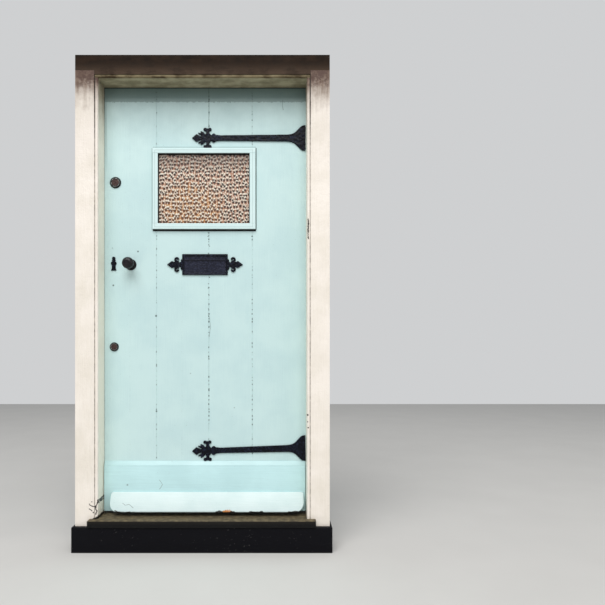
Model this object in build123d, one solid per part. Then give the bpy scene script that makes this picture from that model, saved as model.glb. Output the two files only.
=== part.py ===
from build123d import *
import math
import os

# A boarded cottage door, hung in its rebated frame to open inwards, in millimetres.
# X runs to the right seen from the street, Y into the house and Z up. The origin is under the
# middle of the base beam, in the plane of the frame's front face.

# Frame
opening_width = 826
opening_height = 1742
jamb_width = 90
head_height = 90
reveal_depth = 80
rebate_width = 13
rebate_depth = 56
bead_width = 14
bead_radius = 5.5
quirk_width = 2.5
quirk_depth = 3.5
beam_height = 100
beam_overhang = 9
beam_projection = 19
beam_round = 4
sill_thickness = 30
sill_projection = 25
sill_fall = 2
sill_round = 5
jamb_foot = 56
head_tenon_width = 50
head_tenon_thickness = 34
head_tenon_length = 45
head_tenon_edge = 12
shoulder_rise = 29

# Leaf
lock_gap = 4
hinge_gap = 2.5
head_gap = 3
threshold_gap = 10
planted_gap = 3
board_thickness = 20
board_joint = 15
board_gap = 0.6
board_vee = 2.2
tongue_length = 7
tongue_thickness = 6
tongue_clearance = 0.3
stile_width = 115
top_rail_height = 110
ledge_height = 95
lock_rail_margin = 40
bottom_rail_height = 200
brace_width = 95
tenon_length = 45
tenon_thickness = 12
tenon_shoulder = 12

# Window
window_middle = -3
head_to_sight = 275
sight_width = 372
sight_height = 286
board_setback = 10
lining_cover = 20
glass_clearance = 1
glass_thickness = 4
trim_width = 24
trim_thickness = 12
trim_round = 2.5

# Kick rail and weatherboard
kick_rail_height = 202
kick_rail_thickness = 12
kick_rail_bevel = 16
kick_rail_quirk = 1.5
kick_rail_nose = 2
weatherboard_left_margin = 32
weatherboard_right_margin = 8
weatherboard_bottom = 148
weatherboard_height = 70
weatherboard_projection = 44
weatherboard_top_edge = 6
weatherboard_lip = 3
weatherboard_corner = 36
weatherboard_upper_corner = 8
drip_width = 7
drip_depth = 5
drip_setback = 8

# Ironwork on the outside
front_length = 465
front_thickness = 5
front_end_gap = 1.5
strap_width = 22
strap_root_width = 28
flare_height = 105
flare_length = 78
finial_length = 118
upper_front_rise = 210
lower_front_height = 387
lower_front_tilt = 1
letter_plate_drop = 308
letter_plate_width = 186
letter_plate_height = 85
letter_plate_thickness = 5
letter_finial_length = 62
flap_width = 168
flap_height = 53
flap_top_margin = 22
flap_thickness = 2.5
flap_inset = 0.6
flap_clearance = 0.8
flap_pin_radius = 1.5
flap_barrel_radius = 3
flap_lug_width = 4
flap_side_gap = 0.4
slot_margin = 2.5
stud_radius = 3
stud_spread = 114
nut_size = 11
nut_thickness = 5
running_fit = 0.05

# Locks
keyhole_backset = 48
knob_backset = 118
knob_height = 1146
keyhole_rise = 4
night_backset = 55
night_height = 1482
lower_backset = 50
lower_height = 809
escutcheon_width = 23.5
escutcheon_height = 57
escutcheon_thickness = 3
cover_thickness = 2.5
cover_width = 13
cover_length = 34
rivet_radius = 1.8
rivet_head_radius = 3.2
rivet_head_thickness = 1.6
cover_gap = 0.2
keyhole_radius = 4
keyhole_slot = 5
keyhole_drop = 13
rose_radius = 23
rose_thickness = 6
knob_radius = 23.5
knob_length = 32
knob_neck_radius = 9
knob_neck_length = 24
spindle_size = 8
spindle_hole_radius = 7
night_ring_radius = 23
night_barrel_radius = 14
lower_ring_radius = 18.5
lower_barrel_radius = 12
ring_thickness = 5
barrel_clearance = 0.5
barrel_reach = 3
plug_radius = 6.5
lower_plug_radius = 6
plug_proud = 1
keyway_width = 2
keyway_height = 8
keyway_depth = 12
case_wall = 2.5
case_round = 3
case_depth = 24
rim_case_length = 150
rim_case_height = 100
night_case_length = 92
night_case_height = 66
lower_case_length = 90
lower_case_height = 60
bolt_thickness = 12
bolt_clearance = 0.5
bolt_setback = 0.5
bolt_seat = 6
latch_height = 12
latch_rise = 31
dead_bolt_height = 16
dead_bolt_drop = 27
dead_bolt_length = 80
night_latch_height = 12
night_latch_rise = 20
lower_bolt_height = 18
lower_bolt_length = 72
follower_radius = 10
follower_arm = 20
follower_arm_width = 6
follower_length = 14
follower_rest_angle = 25
follower_clearance = 1.5
night_arm = 11
night_arm_width = 4
night_rest_angle = 35
night_spindle_radius = 4
night_clearance = 3
night_lug_depth = 9
lug_thickness = 5
rim_lug_depth = 12
turn_radius = 13
turn_length = 18
turn_wing_thickness = 5
turn_collar_length = 4
keeper_length = 30
keeper_wall = 2.5
keeper_plate = 2
keeper_plate_length = 44

# Butt hinges
hinge_length = 100
hinge_width = 32
hinge_leaf_thickness = 2.5
knuckle_radius = 6
hinge_pin_radius = 3
knuckle_count = 5
knuckle_gap = 0.3
hinge_tip_radius = 5
hinge_tip_length = 4
hinge_tip_gap = 0.2
upper_hinge_height = 1664
lower_hinge_height = 392
screw_head_radius = 4.2
screw_radius = 2.1
screw_length = 22
case_screw_length = 40
screw_inset = 8

# Levels and faces that the sizes above give
half_opening = opening_width / 2
frame_half = half_opening + jamb_width
frame_depth = reveal_depth + rebate_depth
sill_top = beam_height + sill_thickness
soffit = sill_top + opening_height
window_height_middle = soffit - head_to_sight - sight_height / 2
upper_front_height = window_height_middle + upper_front_rise
rebate_face = half_opening + rebate_width
leaf_left = lock_gap - rebate_face
leaf_right = rebate_face - hinge_gap
leaf_bottom = sill_top + threshold_gap
leaf_top = soffit + rebate_width - head_gap
leaf_face = reveal_depth
leaf_back = frame_depth
framing_face = leaf_face + board_thickness
planted_left = planted_gap - half_opening
planted_right = half_opening - planted_gap
weatherboard_left = planted_left + weatherboard_left_margin
weatherboard_right = planted_right - weatherboard_right_margin
lock_x = leaf_left + keyhole_backset
knob_x = leaf_left + knob_backset
night_x = leaf_left + night_backset
lower_x = leaf_left + lower_backset
cutout_left = window_middle - sight_width / 2 - board_setback
cutout_right = window_middle + sight_width / 2 + board_setback
cutout_bottom = window_height_middle - sight_height / 2 - board_setback
cutout_top = window_height_middle + sight_height / 2 + board_setback
lining_left = cutout_left - lining_cover
lining_right = cutout_right + lining_cover
lining_bottom = cutout_bottom - lining_cover
lining_top = cutout_top + lining_cover
stile_edge_left = leaf_left + stile_width
stile_edge_right = leaf_right - stile_width
bottom_rail_top = leaf_bottom + bottom_rail_height
top_rail_bottom = leaf_top - top_rail_height
kick_rail_top = leaf_bottom + kick_rail_height
kick_rail_face = leaf_face - kick_rail_thickness
hinge_axis_x = (leaf_right + rebate_face) / 2
hinge_axis_y = frame_depth + knuckle_radius
hinge_heights = (upper_hinge_height, lower_hinge_height)
keyhole_height = knob_height + keyhole_rise
letter_plate_height_middle = window_height_middle - letter_plate_drop
lowest_fitting = min(knob_height, letter_plate_height_middle)
lock_rail_bottom = lowest_fitting - rim_case_height / 2 - lock_rail_margin
shoulder_top = soffit + shoulder_rise
quirk_edge = half_opening + bead_width
flap_top = letter_plate_height_middle + letter_plate_height / 2 - flap_top_margin
flap_bottom = flap_top - flap_height
flap_axis_y = leaf_face + flap_barrel_radius / 3
flap_axis_z = flap_top - flap_barrel_radius
slot_half = flap_width / 2 + flap_side_gap + flap_lug_width + slot_margin
slot_top = flap_axis_z + flap_barrel_radius + slot_margin
slot_bottom = flap_bottom - slot_margin
bolt_middle_y = leaf_back + bolt_seat + bolt_thickness / 2
case_back = leaf_back + case_depth
bolt_nose = leaf_left + bolt_setback


def block(x0, x1, y0, y1, z0, z1):
    """A box from its low corner to its high corner."""
    middle = Pos((x0 + x1) / 2, (y0 + y1) / 2, (z0 + z1) / 2)
    return middle * Box(x1 - x0, y1 - y0, z1 - z0)


def rod_y(x, z, y0, y1, radius):
    """A round bar through the thickness of the leaf."""
    return Pos(x, (y0 + y1) / 2, z) * Rot(90, 0, 0) * Cylinder(radius, y1 - y0)


def rod_x(y, z, x0, x1, radius):
    """A round bar along the width of the leaf."""
    return Pos((x0 + x1) / 2, y, z) * Rot(0, 90, 0) * Cylinder(radius, x1 - x0)


def rod_z(x, y, z0, z1, radius):
    """An upright round bar."""
    return Pos(x, y, (z0 + z1) / 2) * Cylinder(radius, z1 - z0)


def raised(outline, back, thickness):
    """An outline drawn in X and Z, raised from the plane at back towards the street."""
    return extrude(Plane.XZ.offset(-back) * outline, thickness)


def along_x(section, x0, x1):
    """A section drawn in Y and Z, run from x0 to x1."""
    return extrude(Plane.YZ.offset(x0) * section, x1 - x0)


def turned(profile, x, z):
    """A profile of radius and Y, turned about an axis through the leaf at x and z."""
    lathe = Plane(origin=(x, 0, z), x_dir=(1, 0, 0), z_dir=(0, 0, 1))
    return revolve(lathe * profile, Axis((x, 0, z), (0, 1, 0)), 360)


def screw(length):
    """A countersunk screw, head at the origin and point down its own Z axis."""
    head_depth = screw_head_radius - screw_radius
    profile = Polyline((0, 0), (screw_head_radius, 0), (screw_radius, -head_depth),
                       (screw_radius, screw_radius - length), (0, -length), close=True)
    return revolve(Plane.XZ * make_face(profile), Axis.Z, 360)


def save(name, shape):
    """One piece to its own file."""
    shape.label = name
    export_step(shape, os.path.join("parts", name + ".step"))


# Frame pieces

def sill():
    """The sill with its sloping front and rounded nosing."""
    front_top = sill_top - sill_fall
    section = make_face(Polyline(
        (-sill_projection, beam_height), (-sill_projection, front_top), (reveal_depth, sill_top),
        (frame_depth, sill_top), (frame_depth, beam_height), close=True))
    nose = section.vertices().sort_by(Axis.X)[0:2].sort_by(Axis.Y)[-1]
    section = fillet(nose, sill_round)
    half = frame_half - jamb_foot
    return along_x(section, -half, half)


def base_beam():
    """The black beam under the sill."""
    half = frame_half + beam_overhang
    beam = block(-half, half, -beam_projection, frame_depth, 0, beam_height)
    front_top = beam.edges().filter_by(Axis.X).group_by(Axis.Y)[0].sort_by(Axis.Z)[-1]
    return fillet(front_top, beam_round)


def bead_section():
    """What is cut away to leave a round bead and its quirk, from the arris inwards."""
    quirk = Pos(bead_width - quirk_width / 2, quirk_depth / 2) * Rectangle(quirk_width, quirk_depth)
    corner = Pos(bead_radius / 2, bead_radius / 2) * Rectangle(bead_radius, bead_radius)
    return quirk + (corner - Pos(bead_radius, bead_radius) * Circle(bead_radius))


def head_tenon(clearance):
    """The tenon at the top of the right-hand jamb."""
    x1 = frame_half - head_tenon_edge + clearance
    x0 = frame_half - head_tenon_edge - head_tenon_width - clearance
    y0 = (reveal_depth - head_tenon_thickness) / 2 - clearance
    y1 = (reveal_depth + head_tenon_thickness) / 2 + clearance
    return block(x0, x1, y0, y1, shoulder_top, shoulder_top + head_tenon_length + clearance)


def shoulder():
    """The flat of the right-hand jamb that runs up past the beads into the head."""
    return block(quirk_edge, frame_half, 0, frame_depth, soffit, shoulder_top)


def jamb():
    """The right-hand jamb: rebate, bead, foot notched over the sill, shoulder and tenon."""
    post = block(half_opening, frame_half, 0, frame_depth, beam_height, soffit)
    rebate = block(half_opening, rebate_face, reveal_depth, frame_depth, beam_height, soffit)
    bead = extrude(Pos(half_opening, 0, beam_height) * bead_section(), soffit - beam_height)
    return post - rebate - bead - sill() + shoulder() + head_tenon(0)


def head():
    """The head over both jambs, rebated and beaded like them."""
    beam = block(-frame_half, frame_half, 0, frame_depth, soffit, soffit + head_height)
    rebate = block(-rebate_face, rebate_face, reveal_depth, frame_depth, soffit, soffit + rebate_width)
    arris = Plane(origin=(half_opening, 0, soffit), x_dir=(0, 0, 1), z_dir=(-1, 0, 0))
    bead = extrude(arris * bead_section(), opening_width)
    quirk_top = soffit + bead_width
    run = block(-quirk_edge, quirk_edge, 0, quirk_depth, quirk_top - quirk_width, quirk_top)
    right = block(quirk_edge - quirk_width, quirk_edge, 0, quirk_depth, soffit, quirk_top)
    right += shoulder() + head_tenon(running_fit)
    return beam - rebate - bead - run - right - mirror(right, about=Plane.YZ)


# Butt hinges

def screw_rows(height):
    """Heights and setbacks of the screws in one hinge flap."""
    spread = hinge_length / 2 - screw_inset - screw_head_radius
    near = leaf_back - hinge_width / 3
    far = leaf_back - hinge_width * 2 / 3
    return [(far, height - spread), (near, height - spread / 3),
            (far, height + spread / 3), (near, height + spread)]


def hinge_screws(height, face, turn):
    """The screws of one flap, driven from its face into the wood behind."""
    return [Pos(face, y, z) * Rot(0, turn, 0) * screw(screw_length) for y, z in screw_rows(height)]


def jamb_hinge_screws(height):
    """Screws driven into the jamb."""
    return hinge_screws(height, rebate_face, -90)


def leaf_hinge_screws(height):
    """Screws driven into the edge of the leaf."""
    return hinge_screws(height, leaf_right, 90)


def hinge_flap(height, x0, x1):
    """A flat flap, and the housing that it is let into."""
    half = hinge_length / 2
    return block(x0, x1, leaf_back - hinge_width, leaf_back, height - half, height + half)


def knuckles(height, first, x0, x1):
    """Every second knuckle of a hinge, each with the tang that joins it to its flap."""
    pitch = hinge_length / knuckle_count
    rolled = []
    for index in range(first, knuckle_count, 2):
        z0 = height - hinge_length / 2 + index * pitch + knuckle_gap / 2
        z1 = z0 + pitch - knuckle_gap
        barrel = rod_z(hinge_axis_x, hinge_axis_y, z0, z1, knuckle_radius)
        tang = block(x0, x1, leaf_back - knuckle_radius, hinge_axis_y, z0, z1)
        rolled.append(barrel + tang)
    return rolled


def hinge_leaf(height, first, x0, x1, screws):
    """One half of a butt hinge."""
    half = hinge_length / 2
    bore = rod_z(hinge_axis_x, hinge_axis_y, height - half, height + half,
                 hinge_pin_radius + running_fit)
    return hinge_flap(height, x0, x1) + knuckles(height, first, x0, x1) - bore - screws


def jamb_hinge_leaf(height):
    """The half on the frame, with the outer knuckles."""
    x1 = rebate_face + hinge_leaf_thickness
    return hinge_leaf(height, 0, rebate_face, x1, jamb_hinge_screws(height))


def door_hinge_leaf(height):
    """The half on the leaf, with the inner knuckles."""
    x0 = leaf_right - hinge_leaf_thickness
    return hinge_leaf(height, 1, x0, leaf_right, leaf_hinge_screws(height))


def hinge_pin(height):
    """The pin with a button at each end."""
    half = hinge_length / 2 + hinge_tip_gap
    pin = rod_z(hinge_axis_x, hinge_axis_y, height - half, height + half, hinge_pin_radius)
    button = rod_z(hinge_axis_x, hinge_axis_y, height + half, height + half + hinge_tip_length,
                   hinge_tip_radius)
    button = chamfer(button.edges().sort_by(Axis.Z)[-1], hinge_tip_length / 3)
    lower = Pos(0, 0, 2 * height) * mirror(button, about=Plane.XY)
    return pin + button + lower


# Leaf

def board(left, right, bottom, top, tongue, groove):
    """One outer board, with its chamfers, and a tongue or a groove where it meets a neighbour."""
    x0 = left + (board_gap / 2 if groove else 0)
    x1 = right - (board_gap / 2 if tongue else 0)
    plank = block(x0, x1, leaf_face, framing_face, bottom, top)
    front = plank.edges().filter_by(Axis.Z).group_by(Axis.Y)[0].sort_by(Axis.X)
    arrises = ([front[0]] if groove else []) + ([front[-1]] if tongue else [])
    plank = chamfer(arrises, board_vee)
    middle = leaf_face + board_thickness * 0.6
    half = tongue_thickness / 2
    if tongue:
        plank += block(x1, x1 + tongue_length, middle - half, middle + half, bottom, top)
    if groove:
        deep = tongue_length - board_gap + tongue_clearance
        plank -= block(x0, x0 + deep, middle - half - tongue_clearance,
                       middle + half + tongue_clearance, bottom, top)
    return plank


def mortise_and_tenon(bottom, top, clearance):
    """Both tenons of a rail, or with a clearance the mortises that take them."""
    middle = (framing_face + leaf_back) / 2
    half = tenon_thickness / 2 + clearance
    z0 = bottom + tenon_shoulder - clearance
    z1 = top - tenon_shoulder + clearance
    x0 = stile_edge_left - tenon_length - clearance
    x1 = stile_edge_right + tenon_length + clearance
    return block(x0, x1, middle - half, middle + half, z0, z1)


def rail(bottom, top):
    """A rail of the framing with a tenon at each end."""
    body = block(stile_edge_left, stile_edge_right, framing_face, leaf_back, bottom, top)
    return body + mortise_and_tenon(bottom, top, 0)


rail_levels = {
    "bottom_rail": (leaf_bottom, bottom_rail_top),
    "lock_rail": (lock_rail_bottom, lining_bottom),
    "ledge_over_window": (lining_top, lining_top + ledge_height),
    "top_rail": (top_rail_bottom, leaf_top),
}


def stile(x0, x1):
    """A stile of the framing with a mortise for every rail."""
    post = block(x0, x1, framing_face, leaf_back, leaf_bottom, leaf_top)
    for bottom, top in rail_levels.values():
        post -= mortise_and_tenon(bottom, top, running_fit)
    return post


def brace():
    """The brace, rising from the hinge side at the bottom to the lock side at the lock rail."""
    panel = block(stile_edge_left, stile_edge_right, framing_face, leaf_back,
                  bottom_rail_top, lock_rail_bottom)
    width = stile_edge_right - stile_edge_left
    height = lock_rail_bottom - bottom_rail_top
    reach = math.hypot(width, height)
    slope = math.degrees(math.atan2(height, width))
    middle = Pos((stile_edge_left + stile_edge_right) / 2, (framing_face + leaf_back) / 2,
                 (bottom_rail_top + lock_rail_bottom) / 2)
    bar = middle * Rot(0, slope, 0) * Box(reach, leaf_back - framing_face, brace_width)
    return bar & panel


def ring(left, right, bottom, top, edge, y0, y1):
    """A rectangular frame whose inner edge is inside its outer one by edge."""
    outer = block(left, right, y0, y1, bottom, top)
    return outer - block(left + edge, right - edge, y0, y1, bottom + edge, top - edge)


def window_lining():
    """The lining behind the boards, flush with the sight line."""
    return ring(lining_left, lining_right, lining_bottom, lining_top,
                lining_cover + board_setback, framing_face, leaf_back)


glass_back = leaf_face + glass_thickness


def glass_pane():
    """The obscured pane, set in the opening of the boards against the back of the trims."""
    return block(cutout_left + glass_clearance, cutout_right - glass_clearance, leaf_face,
                 glass_back, cutout_bottom + glass_clearance, cutout_top - glass_clearance)


def glazing_beads():
    """Four mitred beads between the pane and the lining."""
    frame = ring(cutout_left, cutout_right, cutout_bottom, cutout_top, board_setback,
                 glass_back, framing_face)
    corner = Polyline((cutout_left, cutout_bottom), (cutout_right, cutout_bottom),
                      (cutout_right - board_setback, cutout_bottom + board_setback),
                      (cutout_left + board_setback, cutout_bottom + board_setback), close=True)
    lower = frame & raised(make_face(corner), framing_face, framing_face - glass_back)
    upper = Pos(0, 0, cutout_bottom + cutout_top) * mirror(lower, about=Plane.XY)
    sides = frame - lower - upper
    return [lower, upper] + list(sides.solids())


def trim(left, right, bottom, top):
    """A window trim, planted on the boards with its front arrises eased."""
    strip = block(left, right, leaf_face - trim_thickness, leaf_face, bottom, top)
    along = Axis.X if right - left > top - bottom else Axis.Z
    front = strip.edges().filter_by(along).group_by(Axis.Y)[0]
    return fillet(front, trim_round)


def kick_rail():
    """The planted bottom rail, with a quirk and a bevel along its top."""
    bevel_foot = kick_rail_top - kick_rail_bevel
    section = make_face(Polyline(
        (leaf_face, leaf_bottom), (kick_rail_face, leaf_bottom), (kick_rail_face, bevel_foot),
        (kick_rail_face + kick_rail_quirk, bevel_foot), (leaf_face - kick_rail_nose, kick_rail_top),
        (leaf_face, kick_rail_top), close=True))
    return along_x(section, planted_left, planted_right)


def weatherboard():
    """The sloping weatherboard, rounded at its ends and throated underneath."""
    top = weatherboard_bottom + weatherboard_height
    front = kick_rail_face - weatherboard_projection
    section = make_face(Polyline(
        (kick_rail_face, weatherboard_bottom), (front, weatherboard_bottom),
        (front, weatherboard_bottom + weatherboard_lip),
        (kick_rail_face - weatherboard_top_edge, top), (kick_rail_face, top), close=True))
    drip_y = front + drip_setback + drip_width / 2
    drip = Pos(drip_y, weatherboard_bottom + drip_depth / 2) * Rectangle(drip_width, drip_depth)
    body = along_x(section - drip, weatherboard_left, weatherboard_right)
    width = weatherboard_right - weatherboard_left
    outline = Rectangle(width, weatherboard_height)
    low = outline.vertices().group_by(Axis.Y)[0]
    outline = fillet(low, weatherboard_corner)
    high = outline.vertices().group_by(Axis.Y)[-1]
    outline = fillet(high, weatherboard_upper_corner)
    middle = Pos((weatherboard_left + weatherboard_right) / 2,
                 weatherboard_bottom + weatherboard_height / 2)
    return body & raised(middle * outline, kick_rail_face, weatherboard_projection)


# Dummy hinge fronts

def pair(shape):
    """A shape and its mirror image across the middle line of the ironwork."""
    return shape + mirror(shape, about=Plane.XZ)


def front_finial():
    """The leafy finial at the free end, from its tip along X, in hundredths of its length."""
    spear = make_face(Polyline((0, 0), (15.7, 13.8), (30.5, 5.9), (30.5, -5.9), (15.7, -13.8),
                               close=True))
    small_leaf = Pos(33.9, 11.9) * Rot(0, 0, 155) * Ellipse(13.9, 3.1)
    large_leaf = Pos(39, 14.8) * Rot(0, 0, 136) * Ellipse(11.9, 4.7)
    core = make_face(Polyline((25, 5), (47.5, 10.2), (67.8, 10.2), (78, 11.9), (100, 9.3),
                              (100, 0), (25, 0), close=True))
    stem = make_face(Polyline((45.8, 8.5), (49.6, 18.6), (49.6, 28.8), (60.2, 28.8), (60.2, 18.6),
                              (67.8, 8.5), close=True))
    arm = Pos(54.2, 28.8) * Rectangle(17, 9.3)
    balls = Pos(45.8, 29.7) * Circle(5.9) + Pos(62.7, 29.7) * Circle(5.9)
    collar = Pos(75.8, 8.5) * Circle(7.2)
    half = small_leaf + large_leaf + core + stem + arm + balls + collar
    return scale(spear + pair(half), by=finial_length / 100)


def front_outline():
    """The whole outline of a hinge front: finial, strap and flared root."""
    strap_start = finial_length * 0.93
    strap_end = front_length - flare_length
    strap = make_face(Polyline((strap_start, strap_width / 2), (strap_end, strap_root_width / 2),
                               (strap_end, -strap_root_width / 2), (strap_start, -strap_width / 2),
                               close=True))
    root = (strap_end, strap_root_width / 2)
    waist = (front_length - flare_length * 0.6, flare_height * 0.2)
    shoulder = (front_length - flare_length * 0.24, flare_height * 0.45)
    end = (front_length, flare_height / 2)
    curve = Spline(root, waist, shoulder, end, tangents=((1, 0.06), (1, 0.06)))
    edge = Line(end, (front_length, 0))
    middle = Line((front_length, 0), (strap_end, 0))
    back = Line((strap_end, 0), root)
    flare = make_face([curve, edge, middle, back])
    return front_finial() + strap + pair(flare)


def hinge_front(height, tilt):
    """A dummy strap hinge on the face of the boards, its finial at the given height."""
    tip_x = half_opening - front_end_gap - front_length
    outline = Pos(tip_x, height) * Rot(0, 0, tilt) * front_outline()
    return raised(outline, leaf_face, front_thickness)


# Letter plate

def letter_finial():
    """One fleur of the letter plate, from its tip along X, in hundredths of its length."""
    spear = make_face(Polyline((0, 0), (32, 23.4), (50, 14.5), (50, -14.5), (32, -23.4), close=True))
    neck = make_face(Polyline((42, 0), (42, 17.7), (71, 17.7), (84, 14.5), (97, 24.2), (106, 24.2),
                              (106, 0), close=True))
    scroll = Pos(63.7, 32.3) * (Circle(16.9) - Circle(4.8))
    mouth = Pos(75.8, 29) * Rectangle(17.7, 7.4)
    bump = Pos(97, 27.4) * Circle(7.3)
    return scale(spear + pair(neck + (scroll - mouth) + bump), by=letter_finial_length / 100)


def letter_plate():
    """The cast plate with its two fleurs, its aperture and the lugs that carry the flap."""
    half = letter_plate_width / 2
    tip = half + letter_finial_length
    body = Rectangle(letter_plate_width, letter_plate_height)
    left = Pos(-tip, 0) * letter_finial()
    outline = body + left + mirror(left, about=Plane.YZ)
    plate = raised(Pos(0, letter_plate_height_middle) * outline, leaf_face, letter_plate_thickness)
    aperture_half = flap_width / 2 + flap_clearance
    plate -= block(-aperture_half, aperture_half, leaf_face - letter_plate_thickness, leaf_face,
                   flap_bottom - flap_clearance, flap_top + flap_clearance)
    lug_inner = flap_width / 2 + flap_side_gap
    lug = block(lug_inner + flap_clearance, lug_inner + flap_lug_width, leaf_face - flap_clearance,
                flap_axis_y + flap_barrel_radius, flap_axis_z - flap_barrel_radius,
                flap_top + flap_clearance)
    plate += [lug, mirror(lug, about=Plane.YZ)]
    return plate - rod_x(flap_axis_y, flap_axis_z, -slot_half, slot_half,
                         flap_pin_radius + running_fit)


def letter_flap():
    """The flap that hangs from the pin and opens inwards."""
    half = flap_width / 2
    front = leaf_face - letter_plate_thickness + flap_inset
    sheet = block(-half, half, front, front + flap_thickness, flap_bottom, flap_top)
    barrel = rod_x(flap_axis_y, flap_axis_z, -half, half, flap_barrel_radius)
    web = block(-half, half, front, flap_axis_y, flap_axis_z - flap_barrel_radius,
                flap_axis_z + flap_barrel_radius / 2)
    bore = rod_x(flap_axis_y, flap_axis_z, -half, half, flap_pin_radius + running_fit)
    return sheet + barrel + web - bore


def flap_pin():
    """The wire that the flap hangs from."""
    half = flap_width / 2 + flap_side_gap + flap_lug_width
    return rod_x(flap_axis_y, flap_axis_z, -half, half, flap_pin_radius)


def letter_slot():
    """The slot through boards and lock rail."""
    return block(-slot_half, slot_half, leaf_face, leaf_back, slot_bottom, slot_top)


def letter_studs():
    """The two studs that hold the plate, each with a square nut in the room."""
    studs = []
    for x in (-stud_spread, stud_spread):
        stud = rod_y(x, letter_plate_height_middle, leaf_face, leaf_back + 2 * nut_thickness,
                     stud_radius)
        nut = Pos(x, leaf_back + nut_thickness / 2, letter_plate_height_middle) * Box(
            nut_size, nut_thickness, nut_size)
        studs.append(stud + nut)
    return studs


# Lock furniture on the outside

def escutcheon_outline(width, height):
    """A baluster outline: domed top with a collar, full middle, flared foot."""
    top = Pos(0, height / 2 - width * 0.3) * Circle(width * 0.3)
    neck = Pos(0, height * 0.2) * Rectangle(width * 0.5, height * 0.3)
    collar = Pos(0, height * 0.24) * Ellipse(width * 0.36, height * 0.05)
    middle = Pos(0, height * 0.02) * Ellipse(width / 2, height * 0.17)
    foot = make_face(Polyline((-width * 0.34, 0), (width * 0.34, 0), (width * 0.34, -height * 0.32),
                              (width * 0.47, -height / 2), (-width * 0.47, -height / 2),
                              (-width * 0.34, -height * 0.32), close=True))
    return top + neck + collar + middle + foot


def keyhole(y0, y1):
    """A keyhole through whatever lies between y0 and y1."""
    eye = rod_y(lock_x, keyhole_height, y0, y1, keyhole_radius)
    slot = block(lock_x - keyhole_slot / 2, lock_x + keyhole_slot / 2, y0, y1,
                 keyhole_height - keyhole_drop, keyhole_height)
    return eye + slot


cover_pivot = keyhole_height + keyhole_radius + 2 * rivet_head_radius
escutcheon_face = leaf_face - escutcheon_thickness


def escutcheon():
    """The plate round the keyhole, with the pivot that its cover swings on riveted into it."""
    outline = Pos(lock_x, keyhole_height) * escutcheon_outline(escutcheon_width, escutcheon_height)
    plate = raised(outline, leaf_face, escutcheon_thickness)
    head_back = escutcheon_face - cover_thickness - 2 * cover_gap
    shank = rod_y(lock_x, cover_pivot, head_back, escutcheon_face, rivet_radius)
    button = rod_y(lock_x, cover_pivot, head_back - rivet_head_thickness, head_back,
                   rivet_head_radius)
    return plate - keyhole(escutcheon_face, leaf_face) + shank + button


def keyhole_cover():
    """The pear-shaped cover that swings aside."""
    bottom = Pos(0, cover_width / 2 - cover_length + rivet_head_radius) * Circle(cover_width / 2)
    top = Circle(rivet_head_radius + 1)
    waist = make_face(Polyline((-rivet_head_radius, 0), (rivet_head_radius, 0),
                               (cover_width / 2, cover_width / 2 - cover_length + rivet_head_radius),
                               (-cover_width / 2, cover_width / 2 - cover_length + rivet_head_radius),
                               close=True))
    outline = Pos(lock_x, cover_pivot) * (top + waist + bottom)
    back = escutcheon_face - cover_gap
    cover = raised(outline, back, cover_thickness)
    return cover - rod_y(lock_x, cover_pivot, back - cover_thickness, back,
                         rivet_radius + running_fit)


def rose(x, z, face, outwards):
    """A turned rose on a face, with an eased rim; outwards is -1 for the street, 1 for the room."""
    rim = rose_thickness * outwards
    profile = make_face(Polyline(
        (spindle_hole_radius, face), (rose_radius, face), (rose_radius, face + rim / 3),
        (rose_radius * 0.8, face + rim), (spindle_hole_radius, face + rim), close=True))
    return turned(profile, x, z)


def knob(x, z, face, outwards):
    """A turned knob with a waisted neck and a domed front."""
    neck_end = face + knob_neck_length * outwards
    belly = neck_end + knob_length * 0.45 * outwards
    tip = neck_end + knob_length * outwards
    waist = face + knob_neck_length * 0.6 * outwards
    profile = make_face([
        Line((0, face), (knob_neck_radius, face)),
        Line((knob_neck_radius, face), (knob_neck_radius * 0.85, waist)),
        ThreePointArc((knob_neck_radius * 0.85, waist), (knob_radius * 0.72, neck_end),
                      (knob_radius, belly)),
        ThreePointArc((knob_radius, belly), (knob_radius * 0.78, tip - knob_length * 0.13 * outwards),
                      (knob_radius * 0.2, tip)),
        Line((knob_radius * 0.2, tip), (0, tip)),
        Line((0, tip), (0, face)),
    ])
    return turned(profile, x, z)


rose_front = leaf_face - rose_thickness
knob_clearance = 0.3
outer_knob_face = rose_front - knob_clearance
inner_rose_face = case_back + rose_thickness
inner_knob_face = inner_rose_face + knob_clearance


def spindle():
    """The square spindle from knob to knob, with the follower that works the latch."""
    bar = block(knob_x - spindle_size / 2, knob_x + spindle_size / 2, outer_knob_face,
                inner_knob_face, knob_height - spindle_size / 2, knob_height + spindle_size / 2)
    y0 = bolt_middle_y - follower_length / 2
    y1 = bolt_middle_y + follower_length / 2
    hub = rod_y(knob_x, knob_height, y0, y1, follower_radius)
    arm = Pos(0, (y0 + y1) / 2, follower_arm / 2) * Box(follower_arm_width, bolt_thickness - 2,
                                                       follower_arm)
    end = Pos(0, (y0 + y1) / 2, follower_arm) * Rot(90, 0, 0) * Cylinder(
        follower_arm_width / 2, bolt_thickness - 2)
    lever = Pos(knob_x, 0, knob_height) * Rot(0, follower_rest_angle, 0) * (arm + end)
    return bar + hub + lever


def cylinder_ring(x, z, outer, inner):
    """The dished ring round a lock cylinder."""
    face = leaf_face - ring_thickness
    profile = make_face(Polyline(
        (inner, leaf_face), (outer, leaf_face), (outer, leaf_face - ring_thickness * 0.4),
        (outer * 0.88, face), (inner + barrel_clearance, face), (inner, face + ring_thickness * 0.3),
        close=True))
    return turned(profile, x, z)


def cylinder_body(x, z, radius, plug):
    """A lock cylinder through the leaf, bored for its plug."""
    front = leaf_face - ring_thickness + plug_proud
    body = rod_y(x, z, front, leaf_back + barrel_reach, radius)
    return body - rod_y(x, z, front, leaf_back + barrel_reach, plug + running_fit)


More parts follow.
